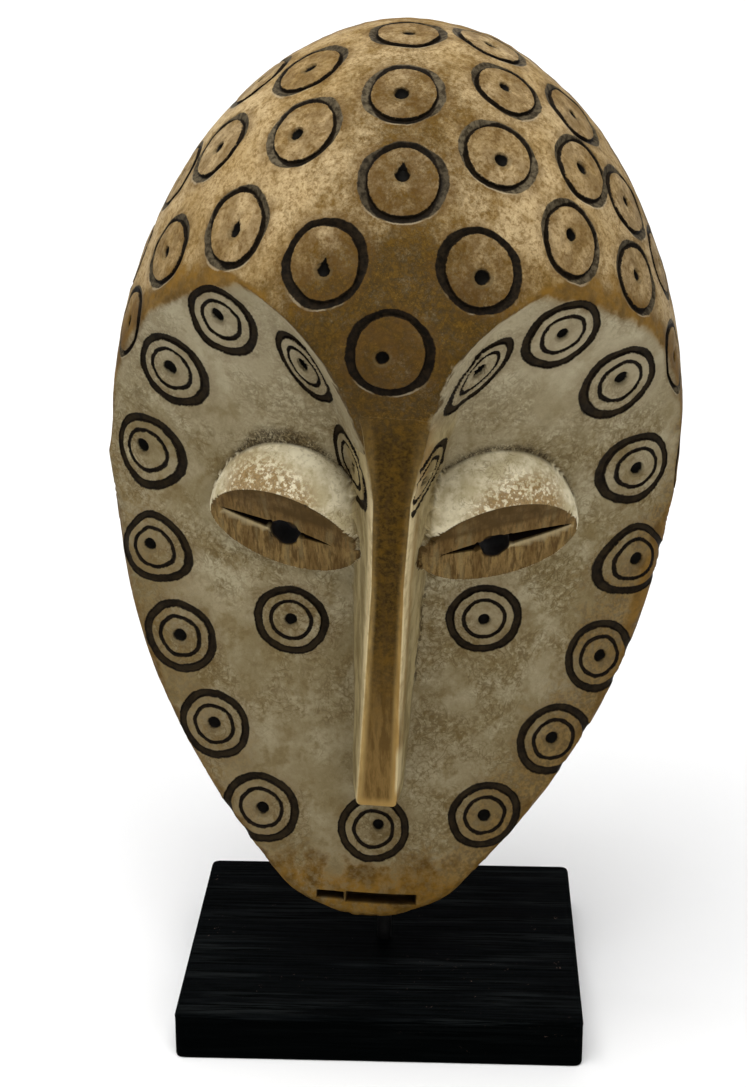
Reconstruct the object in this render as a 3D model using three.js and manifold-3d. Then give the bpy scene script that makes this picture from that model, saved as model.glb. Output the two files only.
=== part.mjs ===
// Carved wooden mask with a high domed forehead, on a rod and a flat block.
// Millimetres, +Z up. The origin is the centre of the block's underside, the mask faces -Y
// and +X is to the viewer's right.
//
// The mask has its own upright frame: u runs to the viewer's right, v up and w out of the face.
// Its shape is a set of heights w over (u, v): a half-egg dome above, a bowed face sheet below
// that sweeps out into the brow, and a long nose and two cut eyelids joined on.

import * as THREE from 'three';
import { mergeVertices } from 'three/addons/utils/BufferGeometryUtils.js';
import Module from 'manifold-3d';

const wasm = await Module();
wasm.setup();
const weldDistance = 1e-4;

// Block and rod
const blockWidth = 200;
const blockDepth = 168;
const blockHeight = 24;
const blockCornerRadius = 4;
const blockEdgeRound = 1.5;
const rodRadius = 3.75;
const rodSocketInBlock = 12;
const rodSocketInMask = 5;
const rodChamfer = 0.8;
const rodBoreLength = 60;
const gap = 0.3;

// Place of the mask on its stand: it leans a little to the viewer's right
const maskRoll = THREE.MathUtils.degToRad(2.96);
const maskOffset = 3.8;
const maskMiddle = blockHeight + 250;

// Outline of the mask, as half widths over height v. Below its widest place it tapers as if to a
// point at taperReach, and a broad round chin cuts that off
const widestV = 30;
const halfWidth = 136.8;
const topReach = 188;
const chinReach = 250;
const topV = widestV + topReach;
const chinV = widestV - chinReach;
const topRoundness = 1.85;
const taperReach = 275;
const taperPower = 2.3;
const chinRound = 16;

// Dome: its depth in front of the rim, where it starts to close over and where it ends below
const domeDepth = 130;
const domeShoulderV = 60;
const domeFullV = 20;
const domeEndV = -30;

// Face sheet: depth, lean, the sweep up into the brow, and the bow across
const sheetDepth = 51;
const sheetLean = 0.05;
const sweepStartV = -75;
const sweepRate = 0.0017;
const bowLow = 0.0019;
const bowHigh = 0.0031;
const bowStartV = -60;
const bowEndV = 90;
const rightBowExtra = 0.0003;

// Bridge of the nose under the forehead: it widens upward, evenly at first and then into the
// two arches of the brow, and its middle drifts to the viewer's left
const bridgeLowV = 30;
const bridgeHighV = 130;
const bridgeCentreLow = 3;
const bridgeCentreHigh = -7;
const bridgeHalfLow = 10;
const bridgeWidening = 24;
const bridgeArch = 60;
const bridgeArchPower = 4.5;
const bridgeSlope = 3;
const bridgeDepthLow = 110;
const bridgeEasedBy = 0.7;
const creaseRound = 5;
const ridgeRound = 4;

// Nose: height v, half width of the front, half width at the face, depth of the front
const noseCentre = 2;
const noseTipV = -146;
const noseSections = [
  [noseTipV, 10.2, 12.5, 65],
  [-120, 9.6, 13.5, 70],
  [-85, 8.8, 15, 78],
  [-24, 7.9, 17.5, 94],
  [20, 9, 20, 107],
  [54, 14.4, 27, 116],
  [84, 22, 33, 123],
];
const noseTipRound = 3;
const noseRootDepth = 30;

// Eyelids: half an egg on the face, taller above than below, and cut by two facets that meet
// in the slit. The one to the viewer's right is a little larger
const leftLid = { side: -1, centre: -46.5, halfLength: 38, above: 43, slit: 54 };
const rightLid = { side: 1, centre: 50, halfLength: 39.5, above: 46, slit: 61 };
const lidV = -8;
const lidTilt = THREE.MathUtils.degToRad(11.5);
const lidBelow = 22.5;
const lidDepth = 25;
const slitDepth = 8;
const facetReach = 60;
const upperFacetRise = 0.475;
const lowerFacetFall = 0.22;
const slitShift = 4;
const slitHeight = 3.6;
const slitCut = 8;
const eyeHoleRadius = 6;
const eyeHoleLength = 120;

// Mouth: a shallow slot just over the chin
const mouthV = -207;
const mouthWidth = 48;
const mouthHeight = 5.5;
const mouthDepth = 11;

// Hollow back and rim
const rimAtChin = 5;
const rimAtTop = -17;
const hollowWall = 17;
const hollowSideWall = 13;
const hollowEndWall = 15;
const rimStep = 1;
const hollowRimStep = 2;
const hollowRunOut = 10;

// Fineness: the levels are spaced in part evenly and in part closer towards both ends
const levels = 58;
const columns = 44;
const hollowLevels = 26;
const hollowColumns = 24;
const evenShare = 0.45;
const eggAround = 28;
const eggRows = 20;
const roundSides = 20;

const woodLight = new THREE.MeshStandardMaterial({ color: 0xa48f68, roughness: 0.75, metalness: 0 });
const blackMetal = new THREE.MeshStandardMaterial({ color: 0x17171a, roughness: 0.45, metalness: 0.8 });
const blackWood = new THREE.MeshStandardMaterial({ color: 0x202124, roughness: 0.6, metalness: 0 });

// The larger of two heights, with the crease between them rounded over the width round
function blendedMax(a, b, round) {
  const share = THREE.MathUtils.clamp(0.5 + (0.5 * (a - b)) / round, 0, 1);
  return b + (a - b) * share + round * share * (1 - share);
}

// The smaller of two heights, rounded in the same way
function blendedMin(a, b, round) {
  return -blendedMax(-a, -b, round);
}

// Half width of the outline at height v
function outline(v) {
  if (v > widestV) {
    const rise = Math.min((v - widestV) / topReach, 1);
    return halfWidth * Math.sqrt(1 - rise ** topRoundness);
  }
  const taper = 1 - ((widestV - v) / taperReach) ** taperPower;
  const closing = THREE.MathUtils.clamp((chinV + chinRound - v) / chinRound, 0, 1);
  return halfWidth * taper * Math.sqrt(1 - closing ** 2);
}

// Height of the dome: near-round sections that close over the top
function dome(u, v, depth = domeDepth) {
  const half = outline(v);
  if (half < 1e-6) return 0;
  const closing = Math.max(v - domeShoulderV, 0) / (topV - domeShoulderV);
  const middle = depth * Math.sqrt(Math.max(1 - closing ** 2, 0));
  return middle * Math.sqrt(Math.max(1 - (u / half) ** 2, 0));
}

// Height of the bowed face sheet, which sweeps forward under the brow
function faceSheet(u, v) {
  const lean = sheetDepth + sheetLean * v;
  const sweep = sweepRate * Math.max(v - sweepStartV, 0) ** 2;
  const bow = THREE.MathUtils.lerp(bowLow, bowHigh, THREE.MathUtils.smoothstep(v, bowStartV, bowEndV));
  const side = u > 0 ? rightBowExtra : 0;
  return lean + sweep - (bow + side) * u ** 2;
}

// Height of the bridge, whose flanks fall away from a front that widens upward
function bridge(u, v) {
  const rise = THREE.MathUtils.clamp((v - bridgeLowV) / (bridgeHighV - bridgeLowV), 0, 1);
  const eased = THREE.MathUtils.smoothstep(rise, 0, bridgeEasedBy);
  const centre = THREE.MathUtils.lerp(bridgeCentreLow, bridgeCentreHigh, rise);
  const half = bridgeHalfLow + bridgeWidening * rise + bridgeArch * rise ** bridgeArchPower;
  const depth = THREE.MathUtils.lerp(bridgeDepthLow, domeDepth, eased);
  return depth - bridgeSlope * Math.max(Math.abs(u - centre) - half, 0);
}

// Height of the carved front, without nose and eyelids
function front(u, v) {
  const sheet = faceSheet(u, v);
  const faceHeight = v > bridgeLowV ? blendedMax(sheet, bridge(u, v), creaseRound) : sheet;
  return blendedMin(dome(u, v) + freeOfDome(v), faceHeight, ridgeRound);
}

// Low down the sheet runs out to the outline, higher up the dome closes round it
function freeOfDome(v) {
  return domeDepth * (1 - THREE.MathUtils.smoothstep(v, domeEndV, domeFullV));
}

// Height of the flat rim at the back, which is cut as one plane
function rim(v) {
  return THREE.MathUtils.mapLinear(v, chinV, topV, rimAtChin, rimAtTop);
}

// Closed body between a front given by heights over an outline and a back
function bodyBetween({ low, high, half, frontHeight, backHeight, rows, across }) {
  const position = [];
  const index = [];
  const point = (u, v, w) => position.push(u, -w, v) / 3 - 1;
  const face = (a, b, c) => index.push(a, b, c);
  const frontRow = [];
  const backRow = [];
  for (let i = 1; i < rows; i += 1) {
    const t = (2 * i) / rows - 1;
    const stretched = THREE.MathUtils.lerp(Math.sin((t * Math.PI) / 2), t, evenShare);
    const v = THREE.MathUtils.mapLinear(stretched, -1, 1, low, high);
    const row = [];
    for (let j = 0; j <= across; j += 1) {
      const u = half(v) * Math.sin(((2 * j) / across - 1) * (Math.PI / 2));
      row.push(point(u, v, frontHeight(u, v)));
    }
    frontRow.push(row);
    backRow.push([point(-half(v), v, backHeight(v)), point(half(v), v, backHeight(v))]);
  }
  for (let i = 0; i + 1 < frontRow.length; i += 1) {
    const lower = frontRow[i];
    const upper = frontRow[i + 1];
    for (let j = 0; j < across; j += 1) {
      // the diagonals run the same way as the arch of the brow on each side
      const left = 2 * j < across;
      face(lower[j], lower[j + 1], left ? upper[j] : upper[j + 1]);
      face(left ? lower[j + 1] : lower[j], upper[j + 1], upper[j]);
    }
    const [backLeft, backRight] = backRow[i];
    const [nextLeft, nextRight] = backRow[i + 1];
    face(backLeft, lower[0], upper[0]);
    face(backLeft, upper[0], nextLeft);
    face(lower[across], backRight, nextRight);
    face(lower[across], nextRight, upper[across]);
    face(backRight, backLeft, nextLeft);
    face(backRight, nextLeft, nextRight);
  }
  const ends = [
    { v: low, row: frontRow[0], back: backRow[0], flip: true },
    { v: high, row: frontRow.at(-1), back: backRow.at(-1), flip: false },
  ];
  for (const { v, row, back, flip } of ends) {
    const frontTip = point(0, v, frontHeight(0, v));
    const backTip = point(0, v, backHeight(v));
    const turned = (a, b, c) => (flip ? face(b, a, c) : face(a, b, c));
    for (let j = 0; j < across; j += 1) turned(row[j], row[j + 1], frontTip);
    turned(back[0], row[0], frontTip);
    turned(back[0], frontTip, backTip);
    turned(row[across], back[1], backTip);
    turned(row[across], backTip, frontTip);
    turned(back[1], back[0], backTip);
  }
  const geometry = new THREE.BufferGeometry();
  geometry.setAttribute('position', new THREE.Float32BufferAttribute(position, 3));
  geometry.setIndex(index);
  return geometry;
}

// A closed geometry as a solid that can be joined and cut
function solid(geometry) {
  const bare = new THREE.BufferGeometry();
  bare.setAttribute('position', geometry.getAttribute('position').clone());
  if (geometry.index) bare.setIndex(geometry.index.clone());
  const merged = mergeVertices(bare, weldDistance);
  const mesh = new wasm.Mesh({
    numProp: 3,
    vertProperties: new Float32Array(merged.getAttribute('position').array),
    triVerts: new Uint32Array(merged.index.array),
  });
  return new wasm.Manifold(mesh);
}

// Such a solid back as a geometry with flat faces
function geometryOf(manifold) {
  const mesh = manifold.getMesh();
  const geometry = new THREE.BufferGeometry();
  geometry.setAttribute('position', new THREE.Float32BufferAttribute(mesh.vertProperties, 3));
  geometry.setIndex(Array.from(mesh.triVerts));
  geometry.computeVertexNormals();
  return geometry;
}

// Matrix that stands a shape on the face sheet at (u, v): its -y axis points out of the face
// and it is turned about that axis
function onSheet(u, v, turn = 0) {
  const step = 1;
  const slopeU = (faceSheet(u + step, v) - faceSheet(u - step, v)) / (2 * step);
  const slopeV = (faceSheet(u, v + step) - faceSheet(u, v - step)) / (2 * step);
  const inward = new THREE.Vector3(slopeU, 1, slopeV).normalize();
  const right = new THREE.Vector3(1, 0, 0).addScaledVector(inward, -inward.x).normalize();
  const up = new THREE.Vector3().crossVectors(right, inward);
  return new THREE.Matrix4()
    .makeBasis(right, inward, up)
    .setPosition(u, -faceSheet(u, v), v)
    .multiply(new THREE.Matrix4().makeRotationY(turn));
}

// Body of the mask without its hollow
function maskBody() {
  return solid(bodyBetween({
    low: chinV,
    high: topV,
    half: outline,
    frontHeight: (u, v) => Math.max(front(u, v), rim(v) + rimStep),
    backHeight: rim,
    rows: levels,
    across: columns,
  }));
}

// The hollow: the same forms, smaller by the wall, run out past the rim
function hollow() {
  const scaleAcross = (halfWidth - hollowSideWall) / halfWidth;
  const low = chinV + hollowEndWall;
  const high = topV - hollowEndWall;
  const stretch = (v) => THREE.MathUtils.mapLinear(v, low, high, chinV, topV);
  const depth = domeDepth - hollowWall;
  return solid(bodyBetween({
    low,
    high,
    half: (v) => outline(stretch(v)) * scaleAcross,
    frontHeight: (u, v) => {
      const inner = dome(u / scaleAcross, stretch(v), depth) + freeOfDome(v);
      const roof = blendedMin(inner, faceSheet(u, v) - hollowWall, ridgeRound);
      return Math.max(roof, rim(v) + hollowRimStep);
    },
    backHeight: (v) => rim(v) - hollowRunOut,
    rows: hollowLevels,
    across: hollowColumns,
  }));
}

// Nose: a row of four-cornered sections from the tip up to the bridge
function nose() {
  const position = [];
  const index = [];
  const addSection = (v, half, foot, depth) => {
    const widening = (depth - noseRootDepth) / (depth - faceSheet(0, v));
    const root = half + (foot - half) * widening;
    for (const [u, w] of [[-root, noseRootDepth], [root, noseRootDepth], [half, depth], [-half, depth]]) {
      position.push(noseCentre + u, -w, v);
    }
  };
  const [tip, ...rest] = noseSections;
  addSection(tip[0], tip[1] - noseTipRound, tip[2], tip[3] - noseTipRound);
  addSection(tip[0] + noseTipRound, tip[1], tip[2], tip[3]);
  for (const section of rest) addSection(...section);
  const count = noseSections.length + 1;
  for (let i = 0; i + 1 < count; i += 1) {
    for (let j = 0; j < 4; j += 1) {
      const a = 4 * i + j;
      const b = 4 * i + ((j + 1) % 4);
      index.push(a, a + 4, b + 4, a, b + 4, b);
    }
  }
  index.push(0, 1, 2, 0, 2, 3);
  const end = 4 * (count - 1);
  index.push(end, end + 2, end + 1, end, end + 3, end + 2);
  const geometry = new THREE.BufferGeometry();
  geometry.setAttribute('position', new THREE.Float32BufferAttribute(position, 3));
  geometry.setIndex(index);
  return solid(geometry);
}

// Prism over a (v, w) outline, as wide as the eye
function prism(points) {
  const shape = new THREE.Shape(points.map(([v, w]) => new THREE.Vector2(v, w)));
  const width = 4 * rightLid.halfLength;
  const geometry = new THREE.ExtrudeGeometry(shape, { depth: width, bevelEnabled: false });
  geometry.translate(0, 0, -width / 2);
  // extrusion along u, the outline's first axis up and its second out of the face
  const basis = new THREE.Matrix4().makeBasis(
    new THREE.Vector3(0, 0, 1),
    new THREE.Vector3(0, -1, 0),
    new THREE.Vector3(1, 0, 0),
  );
  return geometry.applyMatrix4(basis);
}

// Place of one eye
function eyePlace(lid) {
  return onSheet(lid.centre, lidV, -lid.side * lidTilt);
}

// Eyelid with its two facets
function eyelid(lid) {
  const egg = new THREE.SphereGeometry(1, eggAround, eggRows);
  egg.scale(lid.halfLength, lidDepth, 1);
  const points = egg.getAttribute('position');
  for (let i = 0; i < points.count; i += 1) {
    const z = points.getZ(i);
    points.setZ(i, z * (z > 0 ? lid.above : lidBelow));
  }
  const cut = prism([
    [-facetReach, slitDepth - lowerFacetFall * facetReach],
    [0, slitDepth],
    [facetReach, slitDepth + upperFacetRise * facetReach],
    [-facetReach, slitDepth + upperFacetRise * facetReach],
  ]);
  const place = eyePlace(lid);
  return solid(egg.applyMatrix4(place)).subtract(solid(cut.applyMatrix4(place)));
}

// Slit and hole of one eye
function eyeOpening(lid) {
  const place = eyePlace(lid);
  const depth = slitDepth + slitCut;
  const wedge = new THREE.Shape([
    new THREE.Vector2(-lid.slit / 2, 0),
    new THREE.Vector2(0, -slitHeight / 2),
    new THREE.Vector2(lid.slit / 2, 0),
    new THREE.Vector2(0, slitHeight / 2),
  ]);
  const slit = new THREE.ExtrudeGeometry(wedge, { depth, bevelEnabled: false });
  slit.rotateX(Math.PI / 2);
  slit.translate(lid.side * slitShift, slitCut - slitDepth, 0);
  const hole = new THREE.CylinderGeometry(eyeHoleRadius, eyeHoleRadius, eyeHoleLength, roundSides);
  return solid(slit.applyMatrix4(place)).add(solid(hole.applyMatrix4(place)));
}

// Slot of the mouth
function mouth() {
  const slot = new THREE.BoxGeometry(mouthWidth, 2 * mouthDepth, mouthHeight);
  return solid(slot.applyMatrix4(onSheet(0, mouthV)));
}

// Frame of the mask in the object
const maskFrame = new THREE.Group();
maskFrame.position.set(maskOffset, 0, maskMiddle);
maskFrame.rotation.y = maskRoll;
maskFrame.updateMatrix();

// Rod: from its socket in the block up to the one in the roof of the hollow
const rodFoot = blockHeight - rodSocketInBlock;
const roofV = topV - hollowEndWall;
const rodTop = maskMiddle + roofV * Math.cos(maskRoll) + rodSocketInMask;

// Upright bore for the rod, from its floor or roof at z, towards the other end
function rodBore(z, length) {
  const drill = new THREE.CylinderGeometry(rodRadius + gap, rodRadius + gap, Math.abs(length), roundSides);
  drill.rotateX(Math.PI / 2);
  return drill.translate(0, 0, z + length / 2);
}

function rodSocketCut() {
  const fromRoof = rodBore(rodTop + gap, -rodBoreLength);
  return solid(fromRoof.applyMatrix4(maskFrame.matrix.clone().invert()));
}

function maskGeometry() {
  let carved = maskBody().add(nose());
  for (const lid of [leftLid, rightLid]) carved = carved.add(eyelid(lid));
  carved = carved.subtract(hollow()).subtract(mouth()).subtract(rodSocketCut());
  for (const lid of [leftLid, rightLid]) carved = carved.subtract(eyeOpening(lid));
  return geometryOf(carved);
}

function rodGeometry() {
  const length = rodTop - rodFoot - gap;
  const profile = [
    new THREE.Vector2(0, 0),
    new THREE.Vector2(rodRadius - rodChamfer, 0),
    new THREE.Vector2(rodRadius, rodChamfer),
    new THREE.Vector2(rodRadius, length - rodChamfer),
    new THREE.Vector2(rodRadius - rodChamfer, length),
    new THREE.Vector2(0, length),
  ];
  const rod = new THREE.LatheGeometry(profile, roundSides);
  rod.rotateX(Math.PI / 2);
  rod.translate(0, 0, rodFoot + gap);
  return rod;
}

function blockGeometry() {
  const x = blockWidth / 2 - blockEdgeRound;
  const y = blockDepth / 2 - blockEdgeRound;
  const r = blockCornerRadius - blockEdgeRound;
  const plan = new THREE.Shape();
  plan.moveTo(-x + r, -y);
  plan.lineTo(x - r, -y);
  plan.absarc(x - r, -y + r, r, -Math.PI / 2, 0);
  plan.lineTo(x, y - r);
  plan.absarc(x - r, y - r, r, 0, Math.PI / 2);
  plan.lineTo(-x + r, y);
  plan.absarc(-x + r, y - r, r, Math.PI / 2, Math.PI);
  plan.lineTo(-x, -y + r);
  plan.absarc(-x + r, -y + r, r, Math.PI, (3 * Math.PI) / 2);
  const slab = new THREE.ExtrudeGeometry(plan, {
    depth: blockHeight - 2 * blockEdgeRound,
    bevelThickness: blockEdgeRound,
    bevelSize: blockEdgeRound,
    bevelSegments: 2,
    curveSegments: 4,
  });
  slab.translate(0, 0, blockEdgeRound);
  return geometryOf(solid(slab).subtract(solid(rodBore(rodFoot, rodBoreLength))));
}

function named(name, geometry, material) {
  const mesh = new THREE.Mesh(geometry, material);
  mesh.name = name;
  return mesh;
}

const object = new THREE.Group();
maskFrame.add(named('mask', maskGeometry(), woodLight));
object.add(maskFrame);
object.add(named('stand_rod', rodGeometry(), blackMetal));
object.add(named('stand_base', blockGeometry(), blackWood));

export default object;
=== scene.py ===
import math

import bpy
import numpy as np
from mathutils import Matrix, Vector, noise
from mathutils.geometry import delaunay_2d_cdt
from mathutils.kdtree import KDTree


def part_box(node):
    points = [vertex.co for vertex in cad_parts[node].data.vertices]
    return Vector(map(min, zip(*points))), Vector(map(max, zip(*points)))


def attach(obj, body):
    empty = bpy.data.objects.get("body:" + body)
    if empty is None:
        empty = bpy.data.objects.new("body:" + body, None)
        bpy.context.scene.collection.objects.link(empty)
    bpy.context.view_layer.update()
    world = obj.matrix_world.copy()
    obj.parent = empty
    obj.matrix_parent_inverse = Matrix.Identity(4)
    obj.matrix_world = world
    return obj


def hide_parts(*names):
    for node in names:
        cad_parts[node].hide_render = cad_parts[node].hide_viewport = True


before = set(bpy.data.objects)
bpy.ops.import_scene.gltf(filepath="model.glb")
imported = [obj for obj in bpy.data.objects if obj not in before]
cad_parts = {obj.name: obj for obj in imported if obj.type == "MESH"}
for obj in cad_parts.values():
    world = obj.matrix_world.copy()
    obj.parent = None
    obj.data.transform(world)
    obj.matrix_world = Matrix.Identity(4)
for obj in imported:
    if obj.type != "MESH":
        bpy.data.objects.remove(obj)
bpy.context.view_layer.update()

MM = 0.001
chance = np.random.default_rng(7)

# Place of the mask on its stand
MASK_ROLL = math.radians(2.96)
MASK_PLACE = (3.8, 0.0, 274.0)

# Outline
WIDEST_V, HALF_WIDTH = 30.0, 136.8
TOP_REACH, CHIN_REACH, TAPER_REACH, CHIN_ROUND = 188.0, 250.0, 275.0, 16.0
TOP_V, CHIN_V = WIDEST_V + TOP_REACH, WIDEST_V - CHIN_REACH
TOP_POWER, TAPER_POWER = 1.85, 2.3

# Face sheet: depth and slope at v 0, how it sweeps out upward and how it bows back to the sides
SHEET_DEPTH, SHEET_SLOPE = 51.0, 0.05
SWEEP, SWEEP_FROM_V = 0.0017, -75.0
BOW_BELOW, BOW_ABOVE, MORE_BOW_RIGHT = 0.0019, 0.0031, 0.0003

# Front of the bridge: its middle below and above, its half width, and how that flares into the brow
BRIDGE_MIDDLES, BRIDGE_HALF = (3.0, -7.0), 10.0
BRIDGE_FLARE, BROW_FLARE, BROW_FLARE_POWER = 24.0, 60.0, 4.5

# Depths from the rod's plane, and walls
DOME_DEPTH, DOME_FOOT_V = 130.0, 60.0
BROW_V, BRIDGE_DEPTH = 30.0, 110.0
SIDE_WALL, FRONT_WALL, END_WALL = 13.0, 17.0, 15.0
RIM_AT_CHIN, RIM_AT_TOP = 5.0, -17.0
CUT_OF_SLIT, CUT_OF_MOUTH = 6.5, 8.0
CHART_CENTRE_V = 40.0

# What a point shows where no ring or nose is near, and off the eyes
NO_RING, NO_DOT, NO_NOSE, NO_EYE = 60.0, 9.0, 9.0, 30.0

# Eyes
LID_V, LID_BELOW, LID_DEPTH = -8.0, 22.5, 25.0
LID_TILT = math.radians(11.5)
SLIT_DEPTH, UPPER_RISE, LOWER_FALL = 8.0, 0.475, 0.22
SLIT_SHIFT = 4.0

# Nose: height v, half width of the front, half width at the face, depth
NOSE_CENTRE, NOSE_TIP_V, NOSE_END_V = 2.0, -146.0, 84.0
NOSE_CRISP = 1.2
NOSE = np.array([
    [-146, 10.2, 12.5, 65], [-120, 9.6, 13.5, 70], [-85, 8.8, 15, 78], [-24, 7.9, 17.5, 94],
    [20, 9, 20, 107], [54, 14.4, 27, 116], [84, 22, 33, 123],
])

# Forehead rings: centre (u, v), where the dot lies off it, how much larger the ring is across and upright
# than the usual one, how narrow it is cut slantwise, and how far its dot is drawn out upward
DOME_RINGS = [
    (-4, 214.5), (-3.5, 192.5, -0.8, 0.5, 1, 1.05), (-1, 159, -0.3, 2.8, 1.09, 1.13, 1, 1.1),
    (-2, 90.5, -3, -2, 1.04, 1.09), (-46.5, 197.5), (-45.5, 174.5, -3, -1.5, 1, 1.07),
    (-72.5, 133.5, 0, -2, 1.02, 1.1, 1, 0.7), (-32, 125, 0, -2.5, 1.08, 1.14, 1, 1.7), (-85, 161.5),
    (-105.5, 116, 0, -1), (-125, 78.5), (33, 210.5), (41, 194.5, 0, 1, 0.93, 0.98), (39, 170, 1, -2),
    (33.5, 125.5, 0.5, -2.5, 1.05, 1.09), (72, 183), (76.5, 162.5, 0, 1, 0.93, 1.02),
    (72.5, 136, 0, 2.5, 0.98, 1.07), (98.5, 146.5), (104.5, 116.5, 0, 1), (127.5, 75.5),
]
# Rings at the edge of the sight and round the hidden sides, placed on the unrolled surface
SIDE_RINGS = [(-152, 151), (-105, 220), (169, 111), (209, -31), (-186, 98)]
# Rings on the face, given like those of the forehead
FACE_RINGS = [
    (-78, 91.5, -1.3, 2, 1, 1.18), (-103.5, 61, -0.8, 0.4, 1.16, 1.1), (-117, 15.5, -2, 1, 1.18, 1.08),
    (-113, -34.5, -2.4, 0.7, 1.15, 1.07), (-99, -78.5, 0, 0.5, 1.14, 1.08),
    (-80.5, -122, 0, 0.5, 1.11, 1.07), (-55.5, -163.5, 0, 0, 1.11, 1.1),
    (-40.5, 73.5, 0.5, 1, 1.16, 1.25, 0.4), (-18, 27.5, 0, 0, 1.2, 1.1), (-44, -60.5, 0, 0, 1.08, 1.05),
    (1, -168.5, 1.5, 2, 1.03, 1.07), (72, 95, 0, 0, 1, 1.14), (102, 68, 0, 1, 1.19, 1.13),
    (115.5, 21, 0, 0, 1.24, 1.1), (119.5, -27.5, 0.5, 0, 1.16, 1.1), (106, -77.5, 0.5, -0.5, 1.1, 1.09),
    (87, -120.5, 0, 0.5, 1.11, 1.1), (55.5, -160, 0, 0, 1.08, 1.11), (37, 76.5, 0, 0, 1.15, 1.27, 0.5),
    (16.5, 28.5, 0, 0, 1.28, 1.06), (48, -54, 0.5, 0, 1.08, 1.05),
]


def lerp(a, b, t):
    return a + (b - a) * t


def stack(*parts):
    """Coordinates as rows of points. A plain number stands for all of them."""
    return np.stack(np.broadcast_arrays(*parts), -1)


def full_turn(count):
    return np.linspace(0, 2 * math.pi, count, endpoint=False)


def heading(angle):
    return stack(np.cos(angle), np.sin(angle))


def smoothstep(x, low, high):
    t = np.clip((x - low) / (high - low), 0, 1)
    return t * t * (3 - 2 * t)


def blended_max(a, b, width):
    share = np.clip(0.5 + 0.5 * (a - b) / width, 0, 1)
    return b + (a - b) * share + width * share * (1 - share)


def blended_min(a, b, width):
    return -blended_max(-a, -b, width)


def last_inside(test, low, high, rounds):
    """The greatest values between two bounds for which the test still holds."""
    for _ in range(rounds):
        middle = (low + high) / 2
        inside = test(middle)
        low, high = np.where(inside, middle, low), np.where(inside, high, middle)
    return low


# Heights of the carved front, as in the solid

def outline(v):
    rise = np.clip((v - WIDEST_V) / TOP_REACH, 0, 1)
    taper = 1 - (np.clip(WIDEST_V - v, 0, CHIN_REACH) / TAPER_REACH) ** TAPER_POWER
    closing = np.clip((CHIN_V + CHIN_ROUND - v) / CHIN_ROUND, 0, 1)
    below = taper * np.sqrt(1 - closing ** 2)
    return HALF_WIDTH * np.where(v > WIDEST_V, np.sqrt(1 - rise ** TOP_POWER), below)


def dome(u, v, depth=DOME_DEPTH):
    half = np.maximum(outline(v), 1e-6)
    closing = np.clip((v - DOME_FOOT_V) / (TOP_V - DOME_FOOT_V), 0, 1)
    return depth * np.sqrt(1 - closing ** 2) * np.sqrt(np.clip(1 - (u / half) ** 2, 0, 1))


def free_of_dome(v):
    return DOME_DEPTH * (1 - smoothstep(v, -30, 20))


def face_sheet(u, v):
    sweep = SWEEP * np.maximum(v - SWEEP_FROM_V, 0) ** 2
    bow = lerp(BOW_BELOW, BOW_ABOVE, smoothstep(v, -60, 90)) + np.where(u > 0, MORE_BOW_RIGHT, 0)
    return SHEET_DEPTH + SHEET_SLOPE * v + sweep - bow * u ** 2


def past_bridge(u, v):
    """How far a place is outside the front of the bridge, which flares up into the brow."""
    rise = np.clip((v - BROW_V) / 100, 0, 1)
    half = BRIDGE_HALF + BRIDGE_FLARE * rise + BROW_FLARE * rise ** BROW_FLARE_POWER
    return np.abs(u - lerp(*BRIDGE_MIDDLES, rise)) - half


def bridge(u, v):
    depth = lerp(BRIDGE_DEPTH, DOME_DEPTH, smoothstep(v, BROW_V, 100))
    return depth - 3 * np.maximum(past_bridge(u, v), 0)


def face_height(u, v):
    sheet = face_sheet(u, v)
    return np.where(v > BROW_V, blended_max(sheet, bridge(u, v), 5), sheet)


def front(u, v):
    return blended_min(dome(u, v) + free_of_dome(v), face_height(u, v), 4)


def nose_at(v):
    return [np.interp(v, NOSE[:, 0], NOSE[:, k]) for k in (1, 2, 3)]


def nose_height(u, v):
    """Height of the nose, and the place across it: 1 at the edge of its front, 2 at the face."""
    half, foot, depth = nose_at(v)
    near_tip = np.clip((NOSE_TIP_V + 5 - v) / 5, 0, 1)
    round_off = 1 - np.sqrt(1 - near_tip ** 2)
    half = half - 2.2 * round_off
    foot = foot - 1.2 * round_off
    slope = (depth - face_sheet(0, v)) / (foot - half)
    across = np.abs(u - NOSE_CENTRE)
    height = blended_min(depth, depth - slope * (across - half), 1.6) - 1.5 * round_off
    height = height - 45 * np.maximum(NOSE_TIP_V - v, 0) - 12 * np.maximum(v - NOSE_END_V, 0)
    place = np.where(across < half, across / half, 1 + (across - half) / (foot - half))
    return height, place


def nose_blend(v):
    """How broadly the nose runs into what is round it: crisp on the face, soft at its root."""
    return NOSE_CRISP + 5 * smoothstep(v, 30, 60)


def bare_front(u, v):
    return blended_max(front(u, v), nose_height(u, v)[0], nose_blend(v))


def rim(v):
    return lerp(RIM_AT_CHIN, RIM_AT_TOP, (v - CHIN_V) / (TOP_V - CHIN_V))


def hollow_v(v):
    """The height on the mask's outline that a height in the hollow stands for."""
    low, high = CHIN_V + END_WALL, TOP_V - END_WALL
    return CHIN_V + (v - low) / (high - low) * (TOP_V - CHIN_V)


def hollow_half(v):
    return outline(hollow_v(v)) * (HALF_WIDTH - SIDE_WALL) / HALF_WIDTH


def hollow_height(u, v):
    wide_u = u * HALF_WIDTH / (HALF_WIDTH - SIDE_WALL)
    inner = dome(wide_u, hollow_v(v), DOME_DEPTH - FRONT_WALL) + free_of_dome(v)
    return np.maximum(blended_min(inner, face_sheet(u, v) - FRONT_WALL, 4), rim(v) + 2)


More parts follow.
